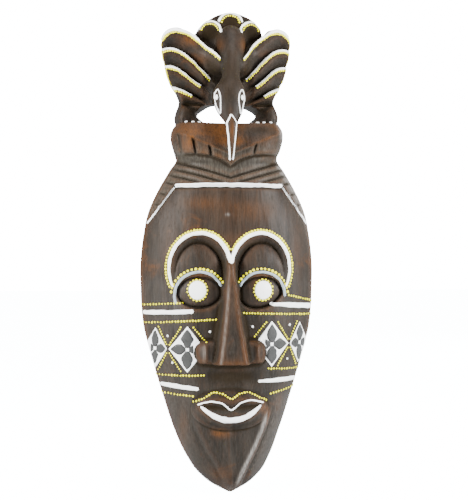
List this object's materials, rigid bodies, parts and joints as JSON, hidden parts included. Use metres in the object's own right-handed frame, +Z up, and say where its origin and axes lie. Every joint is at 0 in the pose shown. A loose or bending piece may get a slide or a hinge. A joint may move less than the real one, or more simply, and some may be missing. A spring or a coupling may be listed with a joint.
{
  "type": "wall mask",
  "caption": "Tall oval carved wooden wall mask with a long wedge nose, domed eyelids and a spread-winged, long-beaked bird as its crest, striped and dotted in relief paint, with a ring hanger",
  "frame": {"origin": "the nail in the wall: the top of the inside of the hanger ring when it is raised, on the wall plane", "axes": "+X to the viewer's right, +Z up, the face looks along -Y and the wall is the plane Y = 0"},
  "size_m": [0.1802, 0.0761, 0.5],
  "materials": {
    "stained_wood": "dark brown stain, waxed to a soft sheen, rubbed through to red brown on the high edges",
    "bare_wood": "plain turned pegs",
    "white_paint": "thick white acrylic paint in relief",
    "pale_grey_paint": "thick blue-grey acrylic paint in relief",
    "grey_paint": "thin grey acrylic paint",
    "yellow_paint": "thick lemon yellow acrylic paint in beads",
    "steel": "zinc plated"
  },
  "bodies": {
    "mask": {"mask_body": "stained_wood", "bird_crest": "stained_wood", "crest_dowels": "bare_wood", "hanger_strap": "steel", "hanger_screws": "steel", "hairline_paint": "white_paint", "brow_line_paint": "white_paint", "eye_disc_paint": "white_paint", "cheek_bar_paint": "white_paint", "cheek_diamond_paint": "white_paint", "lip_line_paint": "white_paint", "cheek_speck_paint": "white_paint", "wing_line_paint": "white_paint", "tail_arc_paint": "white_paint", "beak_line_paint": "white_paint", "bird_eye_paint": "white_paint", "claw_paint": "white_paint", "eyelid_line_paint": "pale_grey_paint", "diamond_petal_paint": "grey_paint", "brow_dots": "yellow_paint", "eyelid_dots": "yellow_paint", "eye_ring_dots": "yellow_paint", "cheek_dots": "yellow_paint", "diamond_dots": "yellow_paint", "lip_dots": "yellow_paint", "wing_edge_paint": "yellow_paint", "wing_dots": "yellow_paint", "tail_dots": "yellow_paint"},
    "ring": {"hanger_ring": "steel"}
  },
  "joints": [
    {"name": "ring_hinge", "type": "hinge", "parent": "mask", "child": "ring", "pos_m": [0, -0.004, -0.013], "axis": [1, 0, 0], "range_deg": [0, 180]}
  ]
}
